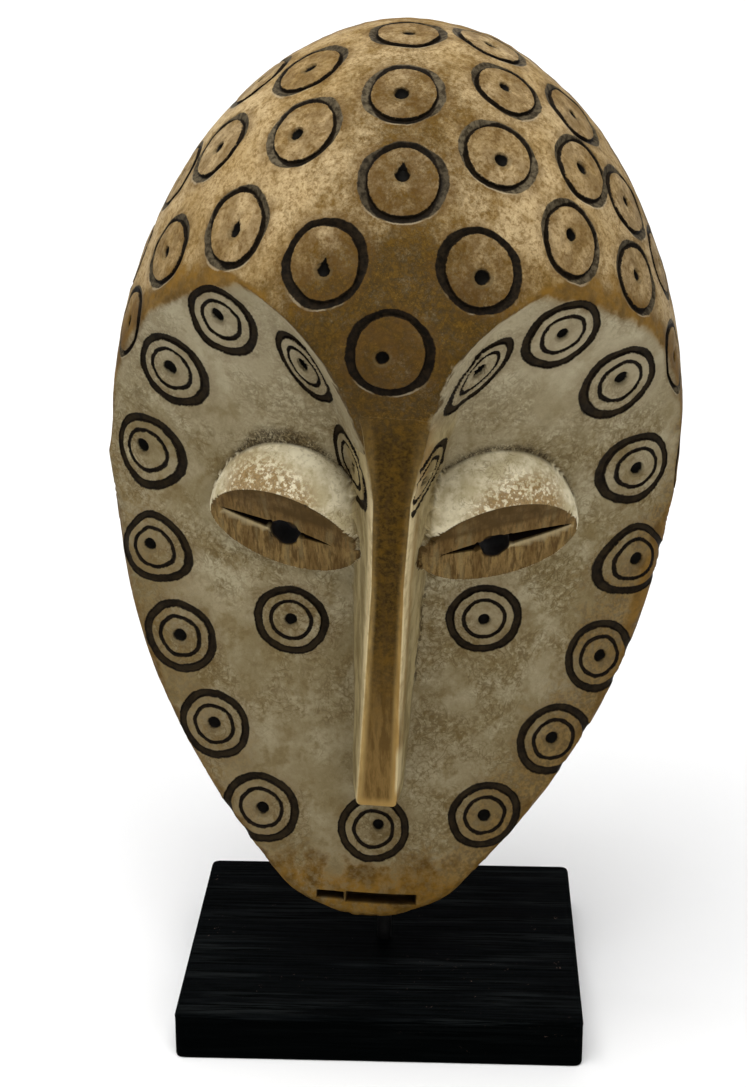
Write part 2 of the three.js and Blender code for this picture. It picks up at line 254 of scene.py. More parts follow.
class Chart:
    """Unrolls a shell over an outline to a plane, so that its steep edges get their true room."""

    def __init__(self, half, centre_v):
        self.centre_v = centre_v
        self.angles = np.linspace(-math.pi, math.pi, 3601)
        cos, sin = np.cos(self.angles), np.sin(self.angles)
        self.table = last_inside(lambda reach: np.abs(reach * cos) < half(centre_v + reach * sin),
                                 np.zeros(3601), np.full(3601, 400.0), 45)

    def reach(self, angle):
        return np.interp(angle, self.angles, self.table)

    def edge_angle(self, angle):
        return lerp(0.4, math.pi / 2, smoothstep(np.sin(angle), -0.62, -0.2))

    def edge_distance(self, angle):
        edge = self.edge_angle(angle)
        return self.reach(angle) * edge / np.sin(edge)

    def to_plane(self, u, v):
        angle = np.arctan2(v - self.centre_v, u)
        edge, reach = self.edge_angle(angle), self.reach(angle)
        share = np.clip(np.hypot(u, v - self.centre_v) / reach, 0, 1)
        distance = reach * np.arcsin(share * np.sin(edge)) / np.sin(edge)
        return stack(distance * np.cos(angle), distance * np.sin(angle))

    def from_plane(self, plane):
        angle = np.arctan2(plane[..., 1], plane[..., 0])
        edge, reach = self.edge_angle(angle), self.reach(angle)
        turn = np.minimum(np.hypot(plane[..., 0], plane[..., 1]) * np.sin(edge) / reach, edge)
        distance = reach * np.sin(turn) / np.sin(edge)
        return distance * np.cos(angle), self.centre_v + distance * np.sin(angle)


outer = Chart(outline, CHART_CENTRE_V)
inner = Chart(hollow_half, CHART_CENTRE_V)


def plain_front(plane):
    u, v = outer.from_plane(plane)
    return stack(u, v, bare_front(u, v))


def plane_slopes(surface, plane, step=0.6):
    along_p = surface(plane + [step, 0]) - surface(plane - [step, 0])
    along_q = surface(plane + [0, step]) - surface(plane - [0, step])
    return along_p / (2 * step), along_q / (2 * step)


def normals_of(surface, plane):
    normal = np.cross(*plane_slopes(surface, plane))
    return normal / np.linalg.norm(normal, axis=-1, keepdims=True)


# Eyes: each has a frame that stands on the face sheet

class Eye:
    def __init__(self, side, centre, half, above, slit, slit_width):
        self.side, self.half, self.rise = side, half, above
        self.slit, self.slit_width = slit, slit_width
        u, v = centre, LID_V
        self.place = np.array([u, v, face_sheet(u, v)])
        slope_u = (face_sheet(u + 1, v) - face_sheet(u - 1, v)) / 2
        slope_v = (face_sheet(u, v + 1) - face_sheet(u, v - 1)) / 2
        self.out = np.array([-slope_u, -slope_v, 1.0])
        self.out /= np.linalg.norm(self.out)
        right = np.array([1.0, 0, 0]) - self.out * self.out[0]
        right /= np.linalg.norm(right)
        up = np.cross(self.out, right)
        turn = -side * LID_TILT
        self.along = math.cos(turn) * right - math.sin(turn) * up
        self.above = math.sin(turn) * right + math.cos(turn) * up

    def local(self, points):
        offset = points - self.place
        return offset @ self.along, offset @ self.above, offset @ self.out

    def find(self, surface, xi, eta):
        """The (u, v) under the point (xi, eta) of this eye on a surface given as heights."""
        matrix = np.linalg.inv(np.array([self.along[:2], self.above[:2]]))
        uv = self.place[:2] + stack(xi, eta) @ matrix.T
        for _ in range(12):
            a, b, _ = self.local(stack(*uv.T, surface(*uv.T)))
            uv = uv + 0.8 * stack(xi - a, eta - b) @ matrix.T
        return uv

    def egg(self, xi, eta):
        height = np.where(eta > 0, self.rise, LID_BELOW)
        return LID_DEPTH * np.sqrt(np.clip(1 - (xi / self.half) ** 2 - (eta / height) ** 2, 0, 1))

    def facets(self, eta):
        return SLIT_DEPTH + np.where(eta > 0, UPPER_RISE, LOWER_FALL) * eta

    def slit_half(self, xi):
        share = np.clip(1 - np.abs(xi - self.side * SLIT_SHIFT) / self.slit, 0, 1)
        return self.slit_width * share ** 0.7

    def worn(self, xi, eta):
        """The outer half of the lid over the edge, where the clay is rubbed through."""
        reach = np.hypot((xi - 8 * self.side) / 25, (eta - 18) / 20)
        return smoothstep(reach, 1.15, 0.7)

    def smudge(self, xi, eta):
        """A dirty line round the top of the lid, broad on the viewer's left one."""
        reach = np.hypot(xi / self.half, eta / self.rise)
        broad = 0.22 * smoothstep(xi * self.side, -18, 8) * smoothstep(xi * self.side, 34, 24)
        width = 0.035 + (broad if self.side < 0 else 0.25 * broad)
        ends = smoothstep(reach, 0.97, 0.995) * smoothstep(reach, 1.0 + width, 1.0 + 0.4 * width)
        return (eta > 4) * ends

    def lens_edge(self, xi, upper):
        """Where the facet leaves the egg."""
        sign, reach = (1, self.rise) if upper else (-1, LID_BELOW)
        return sign * last_inside(lambda eta: self.facets(sign * eta) < self.egg(xi, sign * eta),
                                  np.zeros_like(xi), np.full_like(xi, reach), 30)


# Side, middle, half width, rise of the lid, and the slit's half length and half height. The eye to
# the viewer's right is a little larger, and its slit is longer and wider
eyes = [Eye(-1, -46.5, 38.0, 43.0, 27.0, 3.0), Eye(1, 50.0, 39.5, 46.0, 30.5, 4.0)]
# Place of each hole in its eye's frame, and its half width and half height
EYE_HOLES = [(0.9, -1.2, 7.2, 8.2), (-2.2, -1.4, 7.3, 7.4)]


# Rings: each has its own metric on the unrolled surface. Radii are those of the usual ring
BEVEL, NEAR_RING, RING_REACH = 15.2, 30.0, 19.6
NARROW_LEAN = math.radians(27)


class Ring:
    def __init__(self, centre, face, x=0.0, y=0.0, wide=1.0, tall=1.0, narrow=1.0, tail=0.0):
        self.centre, self.face, self.tail = np.array(centre), face, tail
        p, q = plane_slopes(plain_front, self.centre, step=2.5)
        right = p / np.linalg.norm(p)
        up = q - right * (q @ right)
        up /= np.linalg.norm(up)
        self.matrix = np.array([[p @ right / wide, q @ right / wide], [p @ up / tall, q @ up / tall]])
        lean = math.copysign(NARROW_LEAN, -centre[0])
        across = np.array([math.cos(lean), math.sin(lean)])
        self.matrix = self.matrix + (1 / narrow - 1) * np.outer(across, across @ self.matrix)
        self.turn = chance.uniform(0, math.pi)
        self.oval = chance.uniform(0.0, 0.035)
        self.wave = chance.uniform(0.004, 0.012)
        self.phase = chance.uniform(0, 2 * math.pi)
        self.size = (0.965 if face else 1.0) * chance.uniform(0.975, 1.02)
        # the bevel is wide on two sides: left and right near the middle, and slanting towards it elsewhere
        lean = np.clip(self.centre[0] / 60, -1, 1)
        self.bevel = -lean * math.pi / 4 + chance.uniform(-0.25, 0.25)
        self.grey = smoothstep(np.hypot(self.centre[0], self.centre[1] - 50), 45, 110)
        self.grey = self.grey * chance.uniform(0.7, 1.0)
        self.dot = np.array((x, y)) + chance.normal(0, 0.35, 2)
        self.dot_radius = chance.uniform(2.6, 3.2)

    def wobble(self, angle):
        oval = self.oval * np.cos(2 * (angle - self.turn))
        return self.size * (1 + oval + self.wave * np.sin(5 * angle + self.phase))

    def to_plane(self, radius, angle):
        """Points at a nominal radius, which is the true one but for the hand's wobble."""
        return self.lay((radius * self.wobble(angle))[:, None] * heading(angle))

    def lay(self, flat):
        """Points in millimetres round the ring's centre, on the unrolled surface."""
        return self.centre + flat @ np.linalg.inv(self.matrix).T

    def local(self, plane):
        flat = (plane - self.centre) @ self.matrix.T
        angle = np.arctan2(flat[..., 1], flat[..., 0])
        return flat, np.hypot(flat[..., 0], flat[..., 1]) / self.wobble(angle), angle

    def dot_distance(self, flat):
        """How far a place is from the middle of the dot, as a share of the dot's radius."""
        across, rise = ((flat - self.dot) / self.dot_radius).T
        drawn = np.clip(rise, 0, None)
        return np.hypot(across * (1 + 0.6 * self.tail * drawn), rise - drawn * self.tail / (1 + self.tail))

    def shown(self, plane):
        """What the surface shows of this ring at each place."""
        flat, radius, angle = self.local(plane)
        swing = np.cos(2 * (angle - self.bevel))
        if not self.face:
            # the bevel is cut narrow on two sides
            narrow = lerp(1.6, 1.0, smoothstep(swing, -0.7, 0.7))
            radius = np.where(radius > BEVEL, BEVEL + (radius - BEVEL) * narrow, radius)
        return {"ring": radius, "dot": self.dot_distance(flat), "face_ring": float(self.face),
                "tone": self.grey, "swing": swing, "below": -np.sin(angle)}


rings = [Ring(outer.to_plane(u, v), False, *form) for u, v, *form in DOME_RINGS]
rings += [Ring(centre, False) for centre in SIDE_RINGS]
rings += [Ring(outer.to_plane(u, v), True, *form) for u, v, *form in FACE_RINGS]

# Cuts across the rings and their dots: radius in mm, or share of the dot's radius, and height
DOME_PROFILE = [(13.4, 0), (14.2, 0), (14.9, -1.25), (15.6, -1.15), (17.2, -0.4), (18.4, 0), (19.2, 0)]
FACE_PROFILE = [(8.1, 0), (8.7, 0), (9.2, -0.65), (10.0, -0.65), (10.6, 0), (11.3, 0), (13.4, 0),
                (14.1, 0), (14.8, -0.95), (16.3, -0.85), (17.3, -0.75), (17.9, 0), (18.6, 0)]
DOT_PROFILE = [(0.0, -2.6), (0.5, -2.5), (0.85, -1.9), (1.15, -0.2), (1.5, 0)]
RING_SHOWS = ("ring", "dot", "face_ring", "tone", "swing", "below")


def shown_by_rings(plane):
    """What each place shows of the ring that it is nearest to."""
    shows = {name: np.zeros(len(plane)) for name in RING_SHOWS}
    shows["ring"][:], shows["dot"][:] = NO_RING, NO_DOT
    for ring in rings:
        own = ring.shown(plane)
        here = (own["ring"] < NEAR_RING) & (own["ring"] < shows["ring"])
        for name in RING_SHOWS:
            shows[name] = np.where(here, own[name], shows[name])
    return shows


def ring_depth(shows):
    face = np.interp(shows["ring"], *np.array(FACE_PROFILE).T)
    forehead = np.interp(shows["ring"], *np.array(DOME_PROFILE).T)
    dot = np.interp(shows["dot"], *np.array(DOT_PROFILE).T)
    return np.where(shows["face_ring"] > 0, face, forehead) + dot


def ring_points(ring):
    points = []
    for radius, _ in (FACE_PROFILE if ring.face else DOME_PROFILE):
        points.append(ring.to_plane(radius, full_turn(42 if radius < 12 else 66)))
    for share, _ in DOT_PROFILE:
        around = heading(full_turn(1 if share == 0 else 12))
        points.append(ring.lay(ring.dot + share * ring.dot_radius * around))
    filling = hex_grid(3.2, RING_REACH)
    radius = np.hypot(*filling.T)
    dot = np.hypot(*(filling - ring.dot).T) / ring.dot_radius
    free = (radius < 12.6) & (dot > 2.1)
    if ring.face:
        free &= (radius < 7.3) | (np.abs(radius - 12.3) < 0.6)
    points.append(ring.lay(filling[free]))
    return np.concatenate(points)


def hex_grid(step, reach):
    """Staggered points round the origin, each a little off its place."""
    rows = np.arange(-reach, reach, step * 0.866)
    columns = np.arange(-reach, reach, step)
    grid = np.array([(c + (i % 2) * step / 2, r) for i, r in enumerate(rows) for c in columns])
    return grid + chance.uniform(-0.12, 0.12, grid.shape) * step


def near(points, others, distance):
    """True for each point that has one of the others closer than the distance."""
    tree = KDTree(len(others))
    for i, (x, y) in enumerate(others):
        tree.insert((x, y, 0), i)
    tree.balance()
    return np.array([tree.find((x, y, 0))[2] < distance for x, y in points])


# Mouth: a short thin slot, a bridge of wood and a longer slot, each from left to right, with its
# middle height and half height
MOUTH = [(-25.5, -12.2, -207.6, 2.0), (-10.8, 24.0, -207.8, 2.8)]


def mouth_inset(u, v):
    found = np.full(np.shape(u), -9.0)
    for left, right, middle, half in MOUTH:
        inset = np.minimum(np.minimum(u - left, right - u), half - np.abs(v - middle))
        found = np.maximum(found, inset)
    return found


def eye_lines():
    """Points along the outline, facet edges and slit of both eyes, and the loops of the holes."""
    points, loops = [], []
    for eye, hole_form in zip(eyes, EYE_HOLES):
        middle, half = np.array(hole_form[:2]), np.array(hole_form[2:])
        marks = []
        for share in (1.03, 1.0, 0.985, 0.96, 0.92, 0.86):
            turn = full_turn(150)
            xi, eta = eye.half * np.cos(turn), np.sin(turn)
            marks.append(stack(xi, eta * np.where(eta > 0, eye.rise, LID_BELOW)) * share)
        marks = [m[(m[:, 1] > eye.lens_edge(m[:, 0], True) - 0.4) | (m[:, 1] < 0)] for m in marks]
        xi = np.linspace(-0.98, 0.98, 66) * eye.half
        for upper in (True, False):
            edge = eye.lens_edge(xi, upper)
            marks += [stack(xi, edge + shift) for shift in (-0.5, 0.0, 0.5)]
        xi = np.linspace(-0.98, 0.98, 60) * eye.slit + eye.side * SLIT_SHIFT
        for share in (-1, -0.8, -0.4, 0, 0.4, 0.8, 1):
            marks.append(stack(xi, share * eye.slit_half(xi)))
        for shift in (-1.1, 1.1):
            marks.append(stack(xi, np.sign(shift) * eye.slit_half(xi) + shift))
        marks = np.concatenate(marks)
        turn = full_turn(36)
        wave = 1 + 0.05 * np.sin(3 * turn + eye.side) + 0.03 * np.sin(7 * turn)
        hole = middle + half * wave[:, None] * heading(turn)
        marks = marks[np.hypot(*((marks - middle) / half).T) > 1.32]
        for share in (1.1, 1.22):
            marks = np.concatenate([marks, middle + (hole - middle) * share])
        points.append(outer.to_plane(*eye.find(front, *marks.T).T))
        loops.append((hole, outer.to_plane(*eye.find(front, *hole.T).T)))
    return np.concatenate(points), loops


def nose_lines():
    v = np.arange(NOSE_TIP_V + 3, 70, 1.3)
    half, foot, _ = nose_at(v)
    lines = []
    for side in (-1, 1):
        for share in (-0.07, 0.0, 0.08, 0.46, 0.5, 0.93, 1.03, 1.15):
            lines.append(stack(NOSE_CENTRE + side * (half + share * (foot - half)), v))
    across = np.arange(-13, 13.1, 0.9)
    for level in (-0.9, -0.45, 0.0, 0.7, 1.8, 3.2):
        lines.append(stack(NOSE_CENTRE + across, NOSE_TIP_V + level))
    return np.concatenate(lines)


def mouth_lines():
    lines = []
    for left, right, middle, half in MOUTH:
        for grow in (-0.6, -0.1, 0.5):
            u = np.arange(left - grow, right + grow, 0.9)
            v = np.arange(middle - half - grow, middle + half + grow, 0.9)
            lines += [stack(u, middle + level * (half + grow)) for level in (-1, 1)]
            lines += [stack(end, v) for end in (left - grow, right + grow)]
    return np.concatenate(lines)


def background(chart, surface, step):
    """Even points, with more where the surface bends."""
    size = chart.table.max() * 1.6
    coarse = hex_grid(step, size)
    fine = hex_grid(step / 1.8, size)
    bend = np.zeros(len(fine))
    for shift in ([2.0, 0.0], [0.0, 2.0]):
        ends = surface(fine + shift) + surface(fine - shift) - 2 * surface(fine)
        bend = np.maximum(bend, np.linalg.norm(ends, axis=-1))
    fine = fine[bend > 0.32]
    coarse = coarse[~near(coarse, fine, step * 0.62)]
    return np.concatenate([coarse, fine])


def inside_edge(chart, plane, margin):
    angle = np.arctan2(plane[:, 1], plane[:, 0])
    return np.hypot(plane[:, 0], plane[:, 1]) < chart.edge_distance(angle) - margin


def loop_reach(points, loop):
    """How far points are from the middle of a round loop: 1 is on it."""
    centre = loop.mean(axis=0)
    matrix = np.linalg.inv(np.cov((loop - centre).T))
    offset = points - centre
    return np.sqrt(np.einsum("ij,jk,ik->i", offset, matrix, offset) / 2)


def triangulate(loops, points):
    """Triangles over all points inside the first loop, and the numbers of each loop's points."""
    every = np.concatenate([*loops, points])
    edges, start = [], 0
    for loop in loops:
        count = len(loop)
        edges += [(start + i, start + (i + 1) % count) for i in range(count)]
        start += count
    found, _, faces, origin, _, _ = delaunay_2d_cdt([Vector(p) for p in every], edges, [], 1, 1e-6)
    found = np.array([tuple(p) for p in found])
    number = np.full(len(every), -1)
    for new, old in enumerate(origin):
        number[list(old)] = new
    faces = np.array([f for f in faces if len(f) == 3])
    for loop in loops[1:]:
        faces = faces[loop_reach(found[faces].mean(axis=1), loop) > 0.97]
    return found, faces, np.split(number, np.cumsum([len(loop) for loop in loops]))[:-1]


def noise_at(points, size, seed):
    return np.array([noise.fractal(Vector(p) / size + Vector((seed, 0, 0)), 0.6, 2.1, 2) for p in points])


SHOWS = RING_SHOWS + ("lid", "lens", "cavity_shade", "nose", "clay", "eta", "edge", "inside", "side", "up",
                      "brown", "lip_highlight", "worn", "smudge", "mark")
# In the left eye's frame
LEFT_CRACK = np.array([(-6.0, -2.5), (-5.4, -6.5), (-4.6, -10.5)])
LEFT_NICK = np.array([(7.0, 23.5), (9.2, 24.4)])


def distance_to_line(points, line):
    """Distance to a line of straight stretches."""
    nearest = np.full(len(points), np.inf)
    for start, end in zip(line[:-1], line[1:]):
        along = end - start
        share = np.clip((points - start) @ along / (along @ along), 0, 1)
        nearest = np.minimum(nearest, np.linalg.norm(points - start - share[:, None] * along, axis=1))
    return nearest


def browned(u, v):
    """How dark the stain of the forehead is: it gathers down its middle towards the bridge."""
    middle = 0.6 * np.exp(-(u / 46) ** 2) * smoothstep(v, 245, 180)
    low = smoothstep(v, 150, 96) * np.exp(-((u + 4) / 80) ** 2)
    return np.clip(0.14 + middle + 0.66 * low + 0.08 * smoothstep(u, 20, 110), 0, 1)


def carve_front(plane):
    """Places on the carved front, in mm of the mask's frame, and what each point shows."""
    u, v = outer.from_plane(plane)
    base = plain_front(plane)
    normal = normals_of(plain_front, plane)
    edge = outer.edge_distance(np.arctan2(plane[:, 1], plane[:, 0])) - np.hypot(*plane.T)
    place = base.copy()
    shows = {name: np.zeros(len(plane)) for name in SHOWS}
    shows.update(shown_by_rings(plane))
    shows.update(eta=np.full(len(plane), NO_EYE), edge=edge, side=u, up=v, brown=browned(u, v))

    def put(name, where, value):
        shows[name] = np.where(where, value, shows[name])

    def add(name, value):
        shows[name] = np.maximum(shows[name], value)

    # eyelids, which rise along the frame of their eye
    for eye in eyes:
        xi, eta, height = eye.local(base)
        egg = eye.egg(xi, eta)
        lens = np.minimum(egg, eye.facets(eta))
        on_lid = (egg > 0) & (lens > height)
        lift = np.where(on_lid, lens - height, 0)
        on_lens = on_lid & (eye.facets(eta) < egg - 0.02)
        slit = eye.slit_half(xi)
        share = np.clip(1 - np.abs(eta) / np.maximum(slit, 1e-6), 0, 1) * (slit > 0)
        lift = lift - np.where(on_lens, CUT_OF_SLIT * share * smoothstep(slit, 0, 1.0), 0)
        place = place + lift[:, None] * eye.out
        below = -eta - slit
        # a pale line just under the slit: painted highlight on its lower lip
        lip_highlight = smoothstep(below, -0.2, 0.2) * smoothstep(below, 1.7, 0.7) * smoothstep(xi * eye.side, -8, 6)
        put("lens", on_lens, np.where(eta > 0, 1.0, 2.0))
        put("eta", egg > 0, eta)
        add("lid", on_lid & ~on_lens)
        # painted shade: the slit is coloured near black
        add("cavity_shade", on_lens * smoothstep(share, 0.0, 0.2))
        add("lip_highlight", on_lens * (slit > 0.2) * lip_highlight)
        add("worn", eye.worn(xi, eta))
        add("smudge", eye.smudge(xi, eta))

    # nose, whose foot is cut away where the facets of the eyes run into it
    height, across = nose_height(place[:, 0], place[:, 1])
    for eye in eyes:
        xi, eta, level = eye.local(stack(u, v, front(u, v)))
        cut, egg = eye.facets(eta) + 0.4, eye.egg(xi, eta)
        notched = (eye.side * (u - NOSE_CENTRE) > 0) & (across > 1.48) & (across < 2.2)
        notched &= egg > np.maximum(cut, 0)
        floor = front(u, v) + (cut - level) / eye.out[2]
        place[:, 2] = np.where(notched, floor, place[:, 2])
        height = np.where(notched, floor - 1, height)
        across = np.where(notched, NO_NOSE, across)
        put("lens", notched, np.where(eta > 0, 1.0, 2.0))
        put("lid", notched, 0)
    on_nose = height > place[:, 2] - 0.4 - (nose_blend(v) - NOSE_CRISP) / 3
    place[:, 2] = np.maximum(place[:, 2], height)
    by_nose = on_nose | (across < 2.4) & (v > NOSE_TIP_V) & (v < 40)
    shows["nose"] = np.where(by_nose, across, NO_NOSE)
    put("lid", on_nose, 0)
    put("lens", on_nose, 0)

    # mouth, painted near black inside its slots as painted shade
    inset = mouth_inset(u, v)
    place[:, 2] -= CUT_OF_MOUTH * smoothstep(inset, -0.1, 0.6)
    add("cavity_shade", 0.85 * smoothstep(inset, -0.5, 0.0))

    # rounded outer edge of the face
    fall = 4.5 + 8 * smoothstep(v, -90, -20)
    drop = fall - np.sqrt(fall ** 2 - np.clip(fall - edge, 0, fall) ** 2)
    place[:, 2] -= drop * (1 - smoothstep(v, 0, 30))

    # what is face and what is forehead
    past_brow = dome(u, v) + free_of_dome(v) - face_height(u, v)
    past_front = np.where(v > BROW_V, past_bridge(u, v), 20)
    shows["clay"] = np.clip(np.minimum(past_brow, past_front), -20, 20)

    # rings
    plain = (shows["lid"] == 0) & (shows["lens"] == 0) & (shows["nose"] > 1.02) & (inset < -0.5)
    depth = np.where(plain, ring_depth(shows), 0)
    put("ring", ~plain, NO_RING)
    put("dot", ~plain, NO_DOT)

    # the crack under the left slit and the nick in its lid
    for line, width, cut in ((LEFT_CRACK, 0.7, 0.5), (LEFT_NICK, 0.8, 0.4)):
        away = distance_to_line(stack(*eyes[0].local(base)[:2]), line)
        add("mark", smoothstep(away, width, 0.35 * width))
        depth = depth - cut * smoothstep(away, width, 0)

    # hand-cut unevenness
    uneven = 0.55 * noise_at(base, 26.0, 3.1) + 0.2 * noise_at(base, 8.0, 9.4)
    crisp = np.maximum(shows["lens"] > 0, (shows["nose"] < 1.2) * smoothstep(v, 55, 15))
    uneven = lerp(1, 0.35, crisp) * uneven
    place += (depth + uneven - 0.25)[:, None] * normal
    return place, shows


# Wood broken from the lower edge of the chin, below CHIPS_V: place u and how much is gone
CHIPS_V = -150
CHIPS = [(-52, 0), (-46, 1.0), (-41, 0.2), (-33, 1.5), (-30, 0.5), (-21, 1.8), (-17, 0.9), (-11, 0.0),
         (8, 0.0), (13, 0.7), (18, 0.4), (22, 1.9), (27, 1.2), (34, 0.4), (40, 1.1), (48, 0.0)]


POINTS_ROUND = 720
# How far down the side wall each row of points lies
WALL_LEVELS = (0.12, 0.32, 0.55, 0.78, 0.95)


def build_mask():
    angle = np.linspace(-math.pi, math.pi, POINTS_ROUND, endpoint=False)
    distance = outer.edge_distance(angle)
    u, v = outer.from_plane(distance[:, None] * heading(angle))
    distance = distance - np.where(v < CHIPS_V, np.interp(u, *np.array(CHIPS).T), 0)
    edge_loop = distance[:, None] * heading(angle)

    eye_points, hole_loops = eye_lines()
    straight = np.concatenate([nose_lines(), mouth_lines()])
    straight = outer.to_plane(*straight.T)
    in_lid = np.zeros(len(straight), bool)
    for eye in eyes:
        xi, eta, height = eye.local(plain_front(straight))
        in_lid |= eye.egg(xi, eta) > height + 9
    straight = straight[~near(straight, eye_points, 0.5) & ~in_lid]
    lines = np.concatenate([eye_points, straight])

    ringed = []
    for ring in rings:
        points = ring_points(ring)
        _, own, _ = ring.local(points)
        free = inside_edge(outer, points, 0.8)
        for other in rings:
            if other is not ring and np.hypot(*(other.centre - ring.centre)) < 70:
                _, radius, _ = other.local(points)
                free &= ~((radius < RING_REACH) & (radius < own))
        ringed.append(points[free])
    ringed = np.concatenate(ringed)
    ringed = ringed[~near(ringed, lines, 0.7)]

    plain = background(outer, plain_front, 2.8)
    plain = plain[inside_edge(outer, plain, 1.2)]
    for ring in rings:
        _, radius, _ = ring.local(plain)
        plain = plain[radius > RING_REACH]
    plain = plain[~near(plain, lines, 1.3)]
    points = np.concatenate([lines, ringed, plain])
    for _, loop in hole_loops:
        points = points[loop_reach(points, loop) > 1.05]
    plane, faces, firsts = triangulate([edge_loop] + [loop for _, loop in hole_loops], points)
    place, shows = carve_front(plane)

    groups, marks, triangles = [place], [shows], [faces]
    start = len(place)

    def strip(lower, upper):
        after, above = np.roll(lower, -1), np.roll(upper, -1)
        triangles.append(stack(lower, after, above, lower, above, upper).reshape(-1, 3))
        return lower

    def add(points, plane=None, **given):
        nonlocal start
        show = dict.fromkeys(SHOWS, 0.0)
        show.update(ring=NO_RING, dot=NO_DOT, nose=NO_NOSE, eta=NO_EYE, clay=-20.0, brown=0.1,
                    side=points[:, 0], up=points[:, 1])
        if plane is not None:
            show.update(shown_by_rings(plane))
        show.update(given)
        groups.append(points)
        marks.append({name: np.broadcast_to(value, len(points)) for name, value in show.items()})
        start += len(points)
        return np.arange(start - len(points), start)

    # side wall, from the edge of the front down to the rim
    top = place[firsts[0]]
    previous = firsts[0]
    outward = edge_loop / np.linalg.norm(edge_loop, axis=1, keepdims=True)
    bottom = rim(top[:, 1])
    for share in WALL_LEVELS:
        wall = top.copy()
        wall[:, 2] = lerp(top[:, 2], bottom + 1.2, share)
        swell = 0.5 * noise_at(wall, 14.0, 5.0)
        wall[:, :2] -= (0.35 + np.abs(swell))[:, None] * outward
        # low on the mask the rings that touch the edge soon close on the wall
        down = (top[:, 2] - wall[:, 2])[:, None] * lerp(1.8, 1.0, smoothstep(top[:, 1:2], -10, 30))
        previous = strip(add(wall, plane=edge_loop + outward * down, edge=-down[:, 0]), previous)
    for inset, rise in ((0.8, 0.5), (2.0, 0.0)):
        back = top.copy()
        back[:, :2] -= inset * outward
        back[:, 2] = rim(back[:, 1]) + rise
        previous = strip(add(back, edge=-30.0, inside=1.0), previous)

    # hollow
    hollow_loop = inner.edge_distance(angle)[:, None] * heading(angle)
    u, v = inner.from_plane(hollow_loop)
    previous = strip(add(stack(u, v, rim(v)), edge=-30.0, inside=1.0), previous)

    def hollow_surface(plane):
        u, v = inner.from_plane(plane)
        return stack(u, v, hollow_height(u, v))

    inner_holes = [inner.to_plane(*eye.find(hollow_height, *(hole * 1.15).T).T)
                   for eye, (hole, _) in zip(eyes, hole_loops)]
    filling = hex_grid(4.6, inner.table.max() * 1.6)
    filling = filling[inside_edge(inner, filling, 2.5)]
    for loop in inner_holes:
        filling = filling[np.linalg.norm(filling - loop.mean(axis=0), axis=1) > 9.5]
    plane, faces, hollow_firsts = triangulate([hollow_loop] + inner_holes, filling)
    hollow = hollow_surface(plane)
    hollow = hollow + adze_marks(hollow)[:, None] * normals_of(hollow_surface, plane)
    first = start
    add(hollow, edge=-60.0, inside=1.0)
    triangles.append(faces[:, ::-1] + first)
    strip(hollow_firsts[0] + first, previous)
    for numbers, hollow_numbers, eye in zip(firsts[1:], hollow_firsts[1:], eyes):
        opening = place[numbers]
        # painted shade: the walls of each eye hole are coloured near black
        deep = strip(add(opening - 1.6 * eye.out, cavity_shade=1.0), numbers)
        end = strip(add(lerp(opening, hollow[hollow_numbers], 0.75), cavity_shade=1.0), deep)
        strip(hollow_numbers + first, end)
    return np.concatenate(groups), marks, np.concatenate(triangles)


def adze_marks(points):
    """Shallow scoops left by the blade inside the hollow, in rows down the wood."""
    wide, long, deep = 13.0, 24.0, 0.7
    row = np.floor(points[:, 0] / wide)
    along = points[:, 1] / long + 0.37 * row + 0.25 * noise_at(points, 40.0, 2.0)
    across = points[:, 0] / wide - row - 0.5
    return -deep * (np.abs(along - np.floor(along) - 0.5) * 2) * (1 - 2 * across ** 2)


def to_world(points):
    turn = Matrix.Rotation(MASK_ROLL, 3, "Y")
    upright = stack(points[:, 0], -points[:, 2], points[:, 1])
    return (upright @ np.array(turn).T + MASK_PLACE) * MM


def placed(name, data):
    made = bpy.data.objects.new(name, data)
    bpy.context.scene.collection.objects.link(made)
    return made


def mesh_object(name, points, faces, smooth_angle):
    mesh = bpy.data.meshes.new(name)
    mesh.from_pydata([tuple(p) for p in points], [], [tuple(int(i) for i in f) for f in faces])
    mesh.validate()
    mesh.update()
    mesh.polygons.foreach_set("use_smooth", [True] * len(mesh.polygons))
    mesh.set_sharp_from_angle(angle=math.radians(smooth_angle))
    return placed(name, mesh)


mask_points, mask_marks, mask_faces = build_mask()
mask = mesh_object("mask_carved", to_world(mask_points), mask_faces, smooth_angle=38)
for name in mask_marks[0]:
    values = np.concatenate([m[name] for m in mask_marks]).astype(np.float32)
    layer = mask.data.attributes.new(name, "FLOAT", "POINT")
    layer.data.foreach_set("value", values)
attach(mask, "root")
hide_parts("mask")


# Materials

def tint(code):
    """A colour given as on a screen, as light."""
    channels = [int(code[i:i + 2], 16) / 255 for i in (0, 2, 4)]
    return tuple(c / 12.92 if c < 0.04045 else ((c + 0.055) / 1.055) ** 2.4 for c in channels) + (1.0,)


